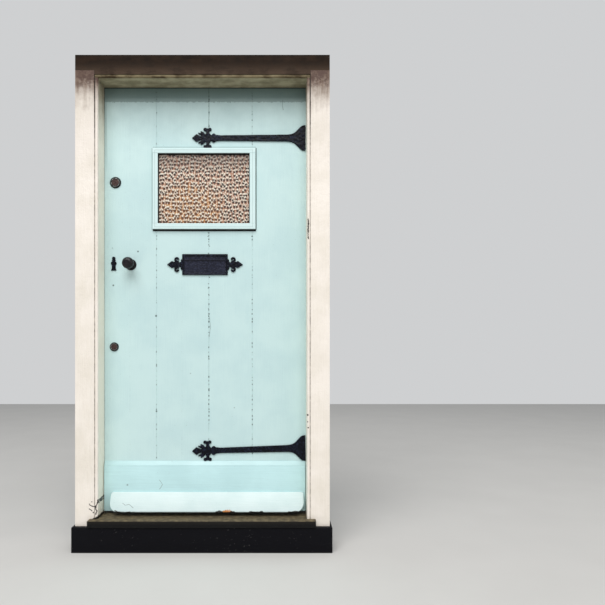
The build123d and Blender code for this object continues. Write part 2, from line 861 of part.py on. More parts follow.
def cylinder_plug(x, z, plug):
    """The plug that the key turns, with its keyway."""
    front = leaf_face - ring_thickness
    barrel = rod_y(x, z, front, leaf_back + barrel_reach, plug)
    keyway = block(x - keyway_width / 2, x + keyway_width / 2, front, front + keyway_depth,
                   z - keyway_height / 2, z + keyway_height / 2)
    return barrel - keyway


# Lock cases, bolts and keepers in the room

def case_screws(length, x_list, z_list):
    """Screws through a case into the leaf, at the given places."""
    spots = zip(x_list, z_list)
    return [Pos(x, case_back, z) * Rot(-90, 0, 0) * screw(length) for x, z in spots]


def lock_case(length, bottom, top, cuts):
    """A rim case, open to the leaf, with the given holes."""
    x1 = leaf_left + length
    shell = block(leaf_left, x1, leaf_back, case_back, bottom, top)
    rim = shell.edges().group_by(Axis.Y)[-1]
    shell = fillet(rim, case_round)
    inside = block(leaf_left + case_wall, x1 - case_wall, leaf_back, case_back - case_wall,
                   bottom + case_wall, top - case_wall)
    return shell - inside - cuts


def bolt_hole(z, height):
    """The mouth in the end of a case for its bolt."""
    y0 = bolt_middle_y - bolt_thickness / 2 - bolt_clearance
    y1 = bolt_middle_y + bolt_thickness / 2 + bolt_clearance
    half = height / 2 + bolt_clearance
    return block(leaf_left, leaf_left + case_wall, y0, y1, z - half, z + half)


def bolt_bar(z, height, length):
    """A plain bolt, drawn back flush with the end of its case."""
    half = bolt_thickness / 2
    return block(bolt_nose, bolt_nose + length, bolt_middle_y - half, bolt_middle_y + half,
                 z - height / 2, z + height / 2)


def latch_bar(z, height, lug_face, lug_depth):
    """A sprung latch with a bevelled nose and the lug that its lever pulls."""
    bar = bolt_bar(z, height, lug_face + lug_thickness - bolt_nose)
    nose = bar.edges().filter_by(Axis.Z).group_by(Axis.X)[0].sort_by(Axis.Y)[-1]
    bar = chamfer(nose, bolt_thickness * 0.8, bolt_thickness * 0.7)
    half = bolt_thickness / 2
    lug = block(lug_face, lug_face + lug_thickness, bolt_middle_y - half, bolt_middle_y + half,
                z - height / 2 - lug_depth, z - height / 2)
    return bar + lug


def rim_latch():
    """The latch of the rim lock, drawn back."""
    tip = follower_arm * math.sin(math.radians(follower_rest_angle)) + follower_arm_width / 2
    lug_face = knob_x + tip + follower_clearance
    return latch_bar(knob_height + latch_rise, latch_height, lug_face, rim_lug_depth)


def night_latch():
    """The latch of the night latch, drawn back."""
    tip = night_arm * math.sin(math.radians(night_rest_angle)) + night_arm_width / 2
    lug_face = night_x + tip + night_clearance
    z = night_height + night_latch_rise
    return latch_bar(z, night_latch_height, lug_face, night_lug_depth)


def night_turn():
    """The turn button in the room, with the lever that pulls the night latch."""
    y0 = bolt_middle_y - bolt_thickness / 2
    stem = rod_y(night_x, night_height, y0, case_back + turn_collar_length, night_spindle_radius)
    collar = rod_y(night_x, night_height, case_back + knob_clearance,
                   case_back + turn_collar_length, turn_radius)
    wing = Pos(night_x, case_back + turn_collar_length + turn_length / 2, night_height) * Box(
        2 * turn_radius, turn_length, turn_wing_thickness)
    wing = fillet(wing.edges().filter_by(Axis.Z), turn_radius / 2)
    arm = Pos(0, bolt_middle_y, night_arm / 2) * Box(night_arm_width, bolt_thickness - 2, night_arm)
    end = Pos(0, bolt_middle_y, night_arm) * Rot(90, 0, 0) * Cylinder(night_arm_width / 2,
                                                                    bolt_thickness - 2)
    lever = Pos(night_x, 0, night_height) * Rot(0, night_rest_angle, 0) * (arm + end)
    return stem + collar + wing + lever


def keeper(bottom, top, screw_heights):
    """A box keeper on the jamb, open towards the leaf, on a plate screwed to the wood."""
    x1 = -rebate_face
    x0 = x1 - keeper_length
    box = block(x0, x1, leaf_back, case_back, bottom, top)
    rim = box.edges().filter_by(Axis.Z).group_by(Axis.Y)[-1].sort_by(Axis.X)[0]
    box = fillet(rim, case_round)
    pocket = block(x0 + keeper_wall, x1, leaf_back, case_back - keeper_wall,
                   bottom + keeper_wall, top - keeper_wall)
    plate = block(x1 - keeper_plate_length, x0 + keeper_wall, leaf_back, leaf_back + keeper_plate,
                  bottom, top)
    return box - pocket + plate - keeper_screws(screw_heights)


def keeper_screws(heights):
    """Screws through a keeper's plate into the jamb."""
    x = -rebate_face - (keeper_length + keeper_plate_length) / 2
    return [Pos(x, leaf_back + keeper_plate, z) * Rot(-90, 0, 0) * screw(screw_length)
            for z in heights]


rim_bottom = knob_height - rim_case_height / 2
rim_top = knob_height + rim_case_height / 2
night_bottom = night_height - night_case_height / 2
night_top = night_height + night_case_height / 2
lower_bottom = lower_height - lower_case_height / 2
lower_top = lower_height + lower_case_height / 2


def corners(length, bottom, top):
    """Screw places near the four corners of a case."""
    x0 = leaf_left + screw_inset
    x1 = leaf_left + length - screw_inset
    z0 = bottom + screw_inset
    z1 = top - screw_inset
    return [x0, x1, x0, x1], [z0, z0, z1, z1]


def rim_screws():
    """Screws of the rim lock."""
    return case_screws(case_screw_length, *corners(rim_case_length, rim_bottom, rim_top))


def night_screws():
    """Screws of the night latch, all but the corner that its latch passes."""
    x_list, z_list = corners(night_case_length, night_bottom, night_top)
    return case_screws(case_screw_length, [x_list[0], x_list[1], x_list[3]],
                       [z_list[0], z_list[1], z_list[3]])


def lower_screws():
    """Screws of the lower lock."""
    return case_screws(case_screw_length, *corners(lower_case_length, lower_bottom, lower_top))


def upright_pair(bottom, top):
    """Heights of the two screws of a keeper."""
    return [bottom + screw_inset, top - screw_inset]


def build_frame():
    """Everything that stays on the wall."""
    jamb_right = jamb()
    jamb_left = mirror(jamb_right, about=Plane.YZ)
    screw_set = []
    for height in hinge_heights:
        screws = jamb_hinge_screws(height)
        jamb_right -= hinge_flap(height, rebate_face, rebate_face + hinge_leaf_thickness)
        jamb_right -= screws
        screw_set += screws
    keepers = {
        "rim_lock_keeper": (rim_bottom, rim_top),
        "night_latch_keeper": (night_bottom, night_top),
        "lower_lock_keeper": (lower_bottom, lower_top),
    }
    for name, (bottom, top) in keepers.items():
        save(name, keeper(bottom, top, upright_pair(bottom, top)))
        screws = keeper_screws(upright_pair(bottom, top))
        jamb_left -= screws
        screw_set += screws
    save("jamb_left", jamb_left)
    save("jamb_right", jamb_right)
    save("head", head())
    save("sill", sill())
    save("base_beam", base_beam())
    save("frame_screws", Compound(children=screw_set))
    save("jamb_hinge_flaps", Compound(children=[jamb_hinge_leaf(z) for z in hinge_heights]))
    save("hinge_pins", Compound(children=[hinge_pin(z) for z in hinge_heights]))


def through_holes():
    """Everything that passes through the lock side of the leaf."""
    holes = [keyhole(leaf_face, leaf_back)]
    holes.append(rod_y(knob_x, knob_height, leaf_face, leaf_back, spindle_hole_radius))
    night = night_barrel_radius + barrel_clearance
    lower = lower_barrel_radius + barrel_clearance
    holes.append(rod_y(night_x, night_height, leaf_face, leaf_back, night))
    holes.append(rod_y(lower_x, lower_height, leaf_face, leaf_back, lower))
    return holes


def build_boards():
    """The outer skin of boards."""
    outer_left = board(leaf_left, cutout_left, leaf_bottom, leaf_top, True, False)
    window = block(cutout_left, cutout_right, leaf_face, framing_face, cutout_bottom, cutout_top)
    save("lock_side_board", outer_left - window - through_holes())
    save("hinge_side_board", board(cutout_right, leaf_right, leaf_bottom, leaf_top, False, True))
    slot = letter_slot()
    studs = letter_studs()
    spans = {"upper": (cutout_top, leaf_top), "lower": (leaf_bottom, cutout_bottom)}
    for name, (bottom, top) in spans.items():
        left = board(cutout_left, board_joint, bottom, top, True, True)
        right = board(board_joint, cutout_right, bottom, top, True, True)
        save(name + "_middle_board_left", left - slot - studs)
        save(name + "_middle_board_right", right - slot - studs)


def build_framing():
    """The framing behind the boards."""
    door_screws = []
    right = stile(stile_edge_right, leaf_right)
    for height in hinge_heights:
        screws = leaf_hinge_screws(height)
        right -= hinge_flap(height, leaf_right - hinge_leaf_thickness, leaf_right)
        right -= screws
        door_screws += screws
    holes = through_holes()
    cases = rim_screws() + night_screws() + lower_screws()
    save("hinge_stile", right)
    save("lock_stile", stile(leaf_left, stile_edge_left) - holes - cases)
    for name, (bottom, top) in rail_levels.items():
        body = rail(bottom, top)
        if name == "lock_rail":
            body -= [letter_slot()] + letter_studs() + holes + rim_screws()
        save(name, body)
    save("brace", brace())
    save("leaf_hinge_screws", Compound(children=door_screws))
    save("lock_case_screws", Compound(children=cases))


def build_window():
    """Lining, pane, beads and trims."""
    save("window_lining", window_lining())
    save("glass_pane", glass_pane())
    save("glazing_beads", Compound(children=glazing_beads()))
    left = cutout_left + board_setback - trim_width
    right = cutout_right - board_setback + trim_width
    bottom = cutout_bottom + board_setback - trim_width
    top = cutout_top - board_setback + trim_width
    low = trim(left, right, bottom, bottom + trim_width)
    high = trim(left, right, top - trim_width, top)
    near = trim(left, left + trim_width, bottom + trim_width, top - trim_width)
    far = trim(right - trim_width, right, bottom + trim_width, top - trim_width)
    save("window_trim_rails", Compound(children=[low, high]))
    save("window_trim_sides", Compound(children=[near, far]))


def build_furniture():
    """Ironwork, locks and hinges on the leaf."""
    save("kick_rail", kick_rail())
    save("weatherboard", weatherboard())
    save("upper_hinge_front", hinge_front(upper_front_height, 0))
    save("lower_hinge_front", hinge_front(lower_front_height, lower_front_tilt))
    save("letter_plate", letter_plate())
    save("letter_flap", letter_flap())
    save("letter_flap_pin", flap_pin())
    save("letter_plate_studs", Compound(children=letter_studs()))
    save("escutcheon", escutcheon())
    save("keyhole_cover", keyhole_cover())
    save("outer_rose", rose(knob_x, knob_height, leaf_face, -1))
    outer = knob(knob_x, knob_height, outer_knob_face, -1)
    inner = knob(knob_x, knob_height, inner_knob_face, 1)
    save("door_knobs", Compound(children=[outer, inner]))
    save("knob_spindle", spindle())
    night = (night_x, night_height)
    lower = (lower_x, lower_height)
    save("night_latch_ring", cylinder_ring(*night, night_ring_radius,
                                           night_barrel_radius + barrel_clearance))
    save("night_latch_cylinder", cylinder_body(*night, night_barrel_radius, plug_radius))
    save("night_latch_plug", cylinder_plug(*night, plug_radius))
    save("lower_lock_ring", cylinder_ring(*lower, lower_ring_radius,
                                          lower_barrel_radius + barrel_clearance))
    save("lower_lock_cylinder", cylinder_body(*lower, lower_barrel_radius, lower_plug_radius))
    save("lower_lock_plug", cylinder_plug(*lower, lower_plug_radius))


def build_locks():
    """Cases and bolts in the room."""
    latch_z = knob_height + latch_rise
    dead_z = knob_height - dead_bolt_drop
    night_z = night_height + night_latch_rise
    rim_spindle = rod_y(knob_x, knob_height, leaf_back, case_back, spindle_hole_radius)
    night_stem = rod_y(night_x, night_height, case_back - case_wall, case_back,
                       night_spindle_radius + running_fit)
    rim_cuts = [bolt_hole(latch_z, latch_height), bolt_hole(dead_z, dead_bolt_height), rim_spindle,
                keyhole(case_back - case_wall, case_back)] + rim_screws()
    rim_case = lock_case(rim_case_length, rim_bottom, rim_top, rim_cuts)
    save("rim_lock_case", rim_case + rose(knob_x, knob_height, case_back, 1))
    night_cuts = [bolt_hole(night_z, night_latch_height), night_stem] + night_screws()
    save("night_latch_case", lock_case(night_case_length, night_bottom, night_top, night_cuts))
    lower_cuts = [bolt_hole(lower_height, lower_bolt_height)] + lower_screws()
    save("lower_lock_case", lock_case(lower_case_length, lower_bottom, lower_top, lower_cuts))
    save("rim_latch", rim_latch())
    save("rim_dead_bolt", bolt_bar(dead_z, dead_bolt_height, dead_bolt_length))
    save("night_latch_bolt", night_latch())
    save("night_turn", night_turn())
    save("lower_dead_bolt", bolt_bar(lower_height, lower_bolt_height, lower_bolt_length))
    save("leaf_hinge_flaps", Compound(children=[door_hinge_leaf(z) for z in hinge_heights]))


os.makedirs("parts", exist_ok=True)
build_frame()
build_boards()
build_framing()
build_window()
build_furniture()
build_locks()
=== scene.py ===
import math

import bmesh
import bpy
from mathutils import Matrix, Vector, noise


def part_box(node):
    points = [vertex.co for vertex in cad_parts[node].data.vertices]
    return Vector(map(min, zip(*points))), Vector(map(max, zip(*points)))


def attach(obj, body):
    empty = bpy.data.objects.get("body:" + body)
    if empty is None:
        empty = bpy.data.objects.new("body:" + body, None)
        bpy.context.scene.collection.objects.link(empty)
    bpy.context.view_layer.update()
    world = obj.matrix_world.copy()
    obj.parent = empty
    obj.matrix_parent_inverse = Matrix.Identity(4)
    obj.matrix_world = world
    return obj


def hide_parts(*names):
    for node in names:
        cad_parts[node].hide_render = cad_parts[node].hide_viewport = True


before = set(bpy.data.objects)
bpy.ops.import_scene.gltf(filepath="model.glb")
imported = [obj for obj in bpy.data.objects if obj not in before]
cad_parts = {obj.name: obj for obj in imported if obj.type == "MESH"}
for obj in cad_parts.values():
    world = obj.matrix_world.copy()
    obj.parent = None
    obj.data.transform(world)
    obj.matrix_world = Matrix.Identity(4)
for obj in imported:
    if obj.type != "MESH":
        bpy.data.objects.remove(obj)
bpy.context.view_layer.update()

# A boarded cottage door in its frame, painted pale aqua, with black ironwork. Metres; X runs to
# the right seen from the street, Y into the house and Z up. Sizes come from the frame.
opening_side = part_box("jamb_right")[0].x
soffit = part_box("head")[0].z
leaf_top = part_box("lock_side_board")[1].z
board_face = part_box("hinge_side_board")[0].y
left_joint, middle_joint, right_joint = -0.199, 0.0155, 0.1935
trims_low, trims_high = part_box("window_trim_rails")
sight_low, sight_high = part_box("window_trim_sides")
trim_width = 0.024
trim_lift = 0.0025
sill_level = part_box("sill")[1].z
quirk_offset = 0.0128


def srgb(red, green, blue):
    """A colour given as it looks on screen, 0 to 255, for a shader socket."""
    def linear(value):
        value /= 255
        return value / 12.92 if value <= 0.04045 else ((value + 0.055) / 1.055) ** 2.4
    return (linear(red), linear(green), linear(blue), 1.0)


# Node trees

class Graph:
    """A node tree with short calls for the nodes that the finishes share."""

    def __init__(self, tree):
        self.tree = tree

    def node(self, kind, inputs, **settings):
        made = self.tree.nodes.new("ShaderNode" + kind)
        for name, value in settings.items():
            setattr(made, name, value)
        for socket, value in inputs.items():
            self.feed(made.inputs[socket], value)
        return made

    def feed(self, socket, value):
        if isinstance(value, bpy.types.NodeSocket):
            self.tree.links.new(value, socket)
        else:
            socket.default_value = value

    def math(self, operation, first, second=0.0):
        return self.node("Math", {0: first, 1: second}, operation=operation).outputs[0]

    def add(self, first, second):
        return self.math("ADD", first, second)

    def times(self, first, second):
        return self.math("MULTIPLY", first, second)

    def less(self, first, second):
        return self.math("SUBTRACT", first, second)

    def most(self, first, second):
        return self.math("MAXIMUM", first, second)

    def size(self, value):
        return self.math("ABSOLUTE", value)

    def rise(self, value, low, high):
        """0 below low, 1 above high, smooth between; with low above high it falls instead."""
        flip = low > high
        inputs = {0: value, 1: min(low, high), 2: max(low, high), 3: float(flip), 4: float(not flip)}
        return self.node("MapRange", inputs, interpolation_type="SMOOTHSTEP").outputs[0]

    def span(self, across, up):
        """The length of a step across and up."""
        return self.math("SQRT", self.add(self.times(across, across), self.times(up, up)))

    def near(self, value, centre, half, soft):
        """1 where value is within half of centre, fading over soft."""
        gap = self.size(self.less(value, centre))
        return self.rise(gap, half + soft, half)

    def mix(self, share, first, second):
        inputs = {0: share, 6: first, 7: second}
        return self.node("Mix", inputs, data_type="RGBA").outputs[2]

    def stretch(self, vector, x, y, z):
        return self.node("Mapping", {"Vector": vector, "Scale": (x, y, z)}).outputs[0]

    def noise(self, vector, scale, detail=2.0, roughness=0.5):
        inputs = {"Vector": vector, "Scale": scale, "Detail": detail, "Roughness": roughness}
        return self.node("TexNoise", inputs).outputs["Fac"]

    def cells(self, vector, scale, jitter, feature, dimensions="3D"):
        inputs = {"Vector": vector, "Scale": scale, "Randomness": jitter}
        made = self.node("TexVoronoi", inputs, feature=feature, voronoi_dimensions=dimensions)
        return made.outputs["Distance"]

    def axes(self, vector):
        return self.node("SeparateXYZ", {0: vector}).outputs

    def place(self, name, **inputs):
        """A shared effect, with this material's own values; an underscore stands for a space."""
        made = self.tree.nodes.new("ShaderNodeGroup")
        made.node_tree = effects[name]
        for socket, value in inputs.items():
            self.feed(made.inputs[socket.replace("_", " ")], value)
        return made.outputs


effects = {}


def effect(name, inputs, outputs):
    """A new shader node group: its graph, its inputs and the node that takes its outputs."""
    tree = bpy.data.node_groups.new(name, "ShaderNodeTree")
    for socket, kind in inputs.items():
        tree.interface.new_socket(socket, in_out="INPUT", socket_type="NodeSocket" + kind)
    for socket, kind in outputs.items():
        tree.interface.new_socket(socket, in_out="OUTPUT", socket_type="NodeSocket" + kind)
    effects[name] = tree
    given = tree.nodes.new("NodeGroupInput").outputs
    return Graph(tree), given, tree.nodes.new("NodeGroupOutput")


def paint_film():
    """Brushed oil paint: streaks along Z, blotches, and the relief that the brush left; the darkening it
    takes in carries dirt and, in some finishes, painted shade.
    """
    graph, given, result = effect(
        "paint film",
        {"Vector": "Vector", "Paint": "Color", "Faded": "Color", "Stain": "Color", "Dirt": "Float"},
        {"Color": "Color", "Roughness": "Float", "Height": "Float"})
    streaks = graph.noise(graph.stretch(given["Vector"], 300, 300, 9), 1.0, 3, 0.6)
    blotches = graph.noise(given["Vector"], 7.0, 4, 0.55)
    specks = graph.noise(given["Vector"], 190.0, 2, 0.5)
    fading = graph.rise(graph.add(graph.times(blotches, 0.7), graph.times(streaks, 0.3)), 0.36, 0.64)
    paint = graph.mix(graph.times(fading, 0.75), given["Paint"], given["Faded"])
    spots = graph.times(graph.rise(specks, 0.68, 0.8), graph.rise(blotches, 0.42, 0.7))
    stain_and_shade = graph.most(given["Dirt"], graph.times(spots, 0.5))
    graph.feed(result.inputs["Color"], graph.mix(stain_and_shade, paint, given["Stain"]))
    rough = graph.add(graph.times(blotches, 0.2), graph.times(given["Dirt"], 0.3))
    graph.feed(result.inputs["Roughness"], graph.add(rough, 0.3))
    relief = graph.add(graph.times(streaks, 0.6), graph.times(specks, 0.4))
    graph.feed(result.inputs["Height"], graph.add(relief, graph.times(blotches, 1.2)))


def broken_line():
    """A thin upright line of dirt at one X, broken into small dots along Z."""
    graph, given, result = effect(
        "broken line",
        {"Vector": "Vector", "Place": "Float", "Half Width": "Float", "Breaks": "Float"},
        {"Mask": "Float"})
    across = graph.axes(given["Vector"])[0]
    wander = graph.noise(graph.stretch(given["Vector"], 8, 8, 45), 1.0, 3, 0.6)
    across = graph.add(across, graph.times(graph.less(wander, 0.5), 0.0045))
    gap = graph.size(graph.less(across, given["Place"]))
    share = graph.math("DIVIDE", gap, given["Half Width"])
    patches = graph.noise(graph.stretch(given["Vector"], 20, 20, 38), 1.0, 2, 0.6)
    spacing = graph.node("TexVoronoi", {"W": graph.axes(given["Vector"])[2], "Scale": 60.0},
                         voronoi_dimensions="1D").outputs["Distance"]
    uneven = graph.rise(graph.noise(graph.stretch(given["Vector"], 20, 20, 150), 1.0, 1), 0.38, 0.62)
    dots = graph.add(graph.times(graph.rise(spacing, 0.32, 0.12), uneven), 0.15)
    strength = graph.times(graph.rise(graph.less(patches, given["Breaks"]), -0.14, 0.06), dots)
    graph.feed(result.inputs["Mask"], graph.times(graph.rise(share, 1.3, 0.6), strength))


def hammered():
    """Hand-beaten iron under thick black paint."""
    graph, given, result = effect(
        "hammered",
        {"Vector": "Vector", "Dents": "Float", "Black": "Color", "Worn": "Color"},
        {"Color": "Color", "Roughness": "Float", "Height": "Float"})
    dents = graph.cells(given["Vector"], given["Dents"], 0.9, "SMOOTH_F1")
    grit = graph.noise(given["Vector"], 420.0, 3, 0.6)
    clouds = graph.noise(given["Vector"], 150.0, 3, 0.7)
    share = graph.times(graph.rise(clouds, 0.47, 0.68), 0.9)
    graph.feed(result.inputs["Color"], graph.mix(share, given["Black"], given["Worn"]))
    graph.feed(result.inputs["Roughness"], graph.add(graph.times(clouds, 0.3), 0.16))
    graph.feed(result.inputs["Height"], graph.add(dents, graph.times(grit, 0.12)))


paint_film()
broken_line()
hammered()

# Finishes

finishes = {}


def finish(name, metallic=0.0, coat=0.0, coat_roughness=0.1, transmission=0.0, specular=0.5):
    """A new material, its graph, its Object coordinates and its shader."""
    material = bpy.data.materials.new(name)
    material.use_nodes = True
    graph = Graph(material.node_tree)
    shader = material.node_tree.nodes["Principled BSDF"]
    shader.inputs["Metallic"].default_value = metallic
    shader.inputs["Coat Weight"].default_value = coat
    shader.inputs["Coat Roughness"].default_value = coat_roughness
    shader.inputs["Transmission Weight"].default_value = transmission
    shader.inputs["Specular IOR Level"].default_value = specular
    place = graph.node("TexCoord", {}).outputs["Object"]
    finishes[name] = material
    return graph, place, shader


def wear(graph, shader, color, roughness, height, depth):
    """Feeds a shader its colour, roughness and relief of that depth in metres."""
    graph.feed(shader.inputs["Base Color"], color)
    graph.feed(shader.inputs["Roughness"], roughness)
    bump = graph.node("Bump", {"Height": height, "Distance": depth, "Strength": 1.0})
    graph.feed(shader.inputs["Normal"], bump.outputs[0])


def spots(graph, place, marks):
    """1 inside any of the round marks, each given as x, z and radius."""
    x, _, z = graph.axes(place)
    total = 0.0
    for mark_x, mark_z, radius in marks:
        gap = graph.span(graph.less(x, mark_x), graph.less(z, mark_z))
        total = graph.most(total, graph.rise(gap, radius, radius * 0.4))
    return total


def cracks(graph, place, lines, width):
    """1 along any of the open lines, each given as its corners in x and z; the edges wander."""
    x, _, z = graph.axes(place)
    x = graph.add(x, graph.times(graph.less(graph.noise(place, 130.0, 2), 0.5), width * 2.5))
    z = graph.add(z, graph.times(graph.less(graph.noise(place, 95.0, 3), 0.5), width * 2.5))
    total = 0.0
    for line in lines:
        for (x0, z0), (x1, z1) in zip(line, line[1:]):
            reach = math.hypot(x1 - x0, z1 - z0)
            ux, uz = (x1 - x0) / reach, (z1 - z0) / reach
            dx = graph.less(x, x0)
            dz = graph.less(z, z0)
            along = graph.add(graph.times(dx, ux), graph.times(dz, uz))
            beyond = graph.less(along, graph.math("MINIMUM", graph.most(along, 0.0), reach))
            off = graph.less(graph.times(dx, uz), graph.times(dz, ux))
            total = graph.most(total, graph.rise(graph.span(beyond, off), width, width * 0.4))
    return total


aqua = srgb(202, 228, 228)
faded_aqua = srgb(191, 219, 221)
joint_dirt_and_shade = srgb(70, 86, 84)
nail_marks = ((-0.275, 1.200, 0.005), (-0.376, 1.061, 0.005), (-0.201, 0.936, 0.006),
              (0.016, 0.944, 0.005), (-0.199, 0.545, 0.005), (0.193, 1.262, 0.005),
              (0.193, 0.944, 0.004))
faint_marks = ((-0.380, 1.214, 0.004), (-0.060, 0.700, 0.004), (0.120, 0.560, 0.004))
board_cracks = (((0.319, 1.821), (0.317, 1.800), (0.320, 1.780)),
                ((0.0150, 1.880), (0.0165, 1.790), (0.0150, 1.690)),
                ((0.018, 0.930), (0.022, 0.890), (0.017, 0.850)))
middle_dots = ((0.013, 1.277, 0.003), (0.012, 1.262, 0.003), (0.015, 1.240, 0.003), (0.018, 1.222, 0.003),
               (0.014, 1.192, 0.004), (0.018, 1.094, 0.004), (0.014, 1.068, 0.003), (0.013, 1.050, 0.003),
               (0.016, 1.020, 0.003), (0.017, 0.985, 0.003), (0.014, 0.965, 0.003))
kick_rail_marks = ((-0.315, 0.246, 0.005),)
kick_rail_cracks = (((-0.184, 0.266), (-0.1715, 0.248), (-0.184, 0.229)),)
weatherboard_cracks = (((-0.327, 0.179), (-0.315, 0.172), (-0.300, 0.176), (-0.282, 0.163)),)
weatherboard_chips = (((-0.352, 0.152), (-0.330, 0.147), (-0.270, 0.146)),
                      ((0.050, 0.147), (0.066, 0.151), (0.074, 0.149)), ((0.108, 0.150), (0.124, 0.148)),
                      ((0.186, 0.148), (0.238, 0.149)), ((0.340, 0.149), (0.396, 0.151)))
bare_edge = (((0.076, 0.1465), (0.096, 0.151), (0.114, 0.148)),)
jamb_split = (((0.4185, 1.312), (0.4175, 1.270), (0.4185, 1.235)),)
foot_cracks = (((-0.414, 0.203), (-0.4145, 0.190), (-0.424, 0.176), (-0.438, 0.179), (-0.447, 0.187)),
               ((-0.424, 0.176), (-0.417, 0.160), (-0.421, 0.147)), ((-0.447, 0.168), (-0.436, 0.160)))
jamb_holes = ((0.416, 0.539, 0.005), (0.418, 0.489, 0.004), (0.416, 0.512, 0.003),
              (-0.437, 0.196, 0.003), (-0.422, 0.176, 0.006), (-0.431, 0.154, 0.004))


def dirt_on_boards(graph, place):
    """Nail marks, cracks and the broken lines of the joints."""
    dirt = graph.times(spots(graph, place, nail_marks), 0.8)
    dirt = graph.most(dirt, graph.times(spots(graph, place, faint_marks), 0.35))
    for joint, breaks, strength in ((left_joint, 0.53, 0.55), (middle_joint, 0.44, 0.90),
                                    (right_joint, 0.47, 0.75)):
        line = graph.place("broken line", Vector=place, Place=joint, Half_Width=0.0023, Breaks=breaks)
        dirt = graph.most(dirt, graph.times(line["Mask"], strength))
    for faint in (-0.308, -0.095):
        line = graph.place("broken line", Vector=place, Place=faint, Half_Width=0.0012, Breaks=0.50)
        dirt = graph.most(dirt, graph.times(line["Mask"], 0.12))
    dirt = graph.most(dirt, graph.times(spots(graph, place, middle_dots), 0.75))
    return graph.most(dirt, graph.times(cracks(graph, place, board_cracks, 0.0012), 0.75))


def lines_round_trims(graph, x, z):
    """Faint lines above and left of the window trims, and black lines of painted shadow below and right of
    them.
    """
    middle = (trims_low + trims_high) / 2
    half = (trims_high - trims_low) / 2
    along = graph.near(x, middle.x, half.x + 0.001, 0.001)
    upward = graph.near(z, middle.z + 0.002, half.z + 0.001, 0.001)
    faint = graph.most(graph.times(graph.near(z, trims_high.z + 0.0065, 0.0016, 0.0010), along),
                       graph.times(graph.near(x, trims_low.x - 0.0042, 0.0016, 0.0010), upward))
    black = graph.times(graph.near(x, trims_high.x + 0.0020, 0.0018, 0.0008), upward)
    black = graph.most(graph.times(graph.near(z, trims_low.z - 0.0002, 0.0034, 0.0008), along),
                       graph.times(black, 0.8))
    return graph.times(faint, 0.35), black


def shade_of_frame(graph, place, x, z):
    """Painted shade on the leaf: its top greyed, a ragged dark band under the head, partly staining and
    partly painted shadow, and a darker strip along its lock edge.
    """
    cloud = graph.noise(place, 14.0, 4, 0.6)
    top = graph.rise(graph.add(z, graph.times(cloud, 0.08)), leaf_top - 0.26, leaf_top + 0.03)
    ragged = graph.times(graph.noise(place, 75.0, 4, 0.65), 0.020)
    band = graph.rise(graph.add(z, ragged), leaf_top - 0.0620, leaf_top - 0.0585)
    darker = graph.times(graph.rise(z, leaf_top - 0.062, leaf_top - 0.012), 0.18)
    band = graph.times(band, graph.add(darker, 0.70))
    strip = graph.times(graph.rise(x, 0.0145 - opening_side, 0.0090 - opening_side),
                        graph.rise(z, 1.45, 1.80))
    return graph.most(graph.most(graph.times(top, 0.40), band), graph.times(strip, 0.45))


def door_paint():
    """Aqua paint on the boards; the dirt and the painted shade are on their outer side alone."""
    graph, place, shader = finish("door_paint", coat=0.08, coat_roughness=0.35, specular=0.35)
    x, y, z = graph.axes(place)
    faint, black = lines_round_trims(graph, x, z)
    # A dark line of painted shade in the gap at the lock edge, stronger towards the top; it goes in with the
    # dirt.
    corner = graph.near(x, -opening_side, 0.0022, 0.0012)
    corner = graph.times(corner, graph.add(graph.times(graph.rise(z, 1.65, 1.86), 0.5), 0.40))
    dirt = graph.most(dirt_on_boards(graph, place), graph.most(corner, faint))
    # Painted shade in the gap under the head.
    gap = graph.times(graph.rise(z, soffit - 0.0050, soffit - 0.0035), 0.8)
    outside = graph.rise(y, board_face + 0.014, board_face + 0.008)
    # Painted shade greys the paint at the top of the leaf and along its lock edge.
    grey = graph.times(shade_of_frame(graph, place, x, z), outside)
    film = graph.place("paint film", Vector=place, Paint=graph.mix(grey, aqua, srgb(80, 100, 94)),
                       Faded=graph.mix(grey, faded_aqua, srgb(74, 94, 88)), Stain=joint_dirt_and_shade,
                       Dirt=graph.times(dirt, outside))
    # Near black painted shadow below and right of the window trims and under the head.
    dark = graph.times(graph.most(black, gap), outside)
    color = graph.mix(dark, film["Color"], srgb(12, 18, 17))
    wear(graph, shader, color, film["Roughness"], film["Height"], 0.0007)


def beyond_sight(graph, x, z):
    """How far a place lies outside the rectangle of glass that the trims leave."""
    middle = (sight_low + sight_high) / 2
    half = (sight_high - sight_low) / 2
    across = graph.size(graph.less(x, middle.x - trim_lift / 2))
    up = graph.size(graph.less(z, middle.z + trim_lift / 2))
    return graph.most(graph.less(across, half.x - trim_width + trim_lift / 2),
                      graph.less(up, half.z + trim_lift / 2))


def trim_paint():
    """Bright paint with a faint crease drawn as a line of painted shade; the edges next to the glass and
    beneath are painted black as shade.
    """
    graph, place, shader = finish("window_trim_paint", coat=0.1, coat_roughness=0.3, specular=0.35)
    x, y, z = graph.axes(place)
    film = graph.place("paint film", Vector=place, Paint=srgb(214, 236, 236),
                       Faded=srgb(203, 229, 229), Stain=joint_dirt_and_shade, Dirt=0.0)
    out = beyond_sight(graph, x, z)
    # A line of painted shade stands for the crease.
    crease = graph.times(graph.near(out, 0.0125, 0.0007, 0.0012), 0.22)
    # Painted shade: near black along the glass and along the underside.
    under = graph.rise(z, trims_low.z + 0.0036, trims_low.z + 0.0032)
    edge = graph.most(graph.rise(out, 0.0009, 0.0004), under)
    edge = graph.times(edge, graph.rise(y, board_face - 0.0100, board_face - 0.0094))
    color = graph.mix(crease, film["Color"], joint_dirt_and_shade)
    wear(graph, shader, graph.mix(edge, color, srgb(10, 9, 8)), film["Roughness"], film["Height"], 0.0005)


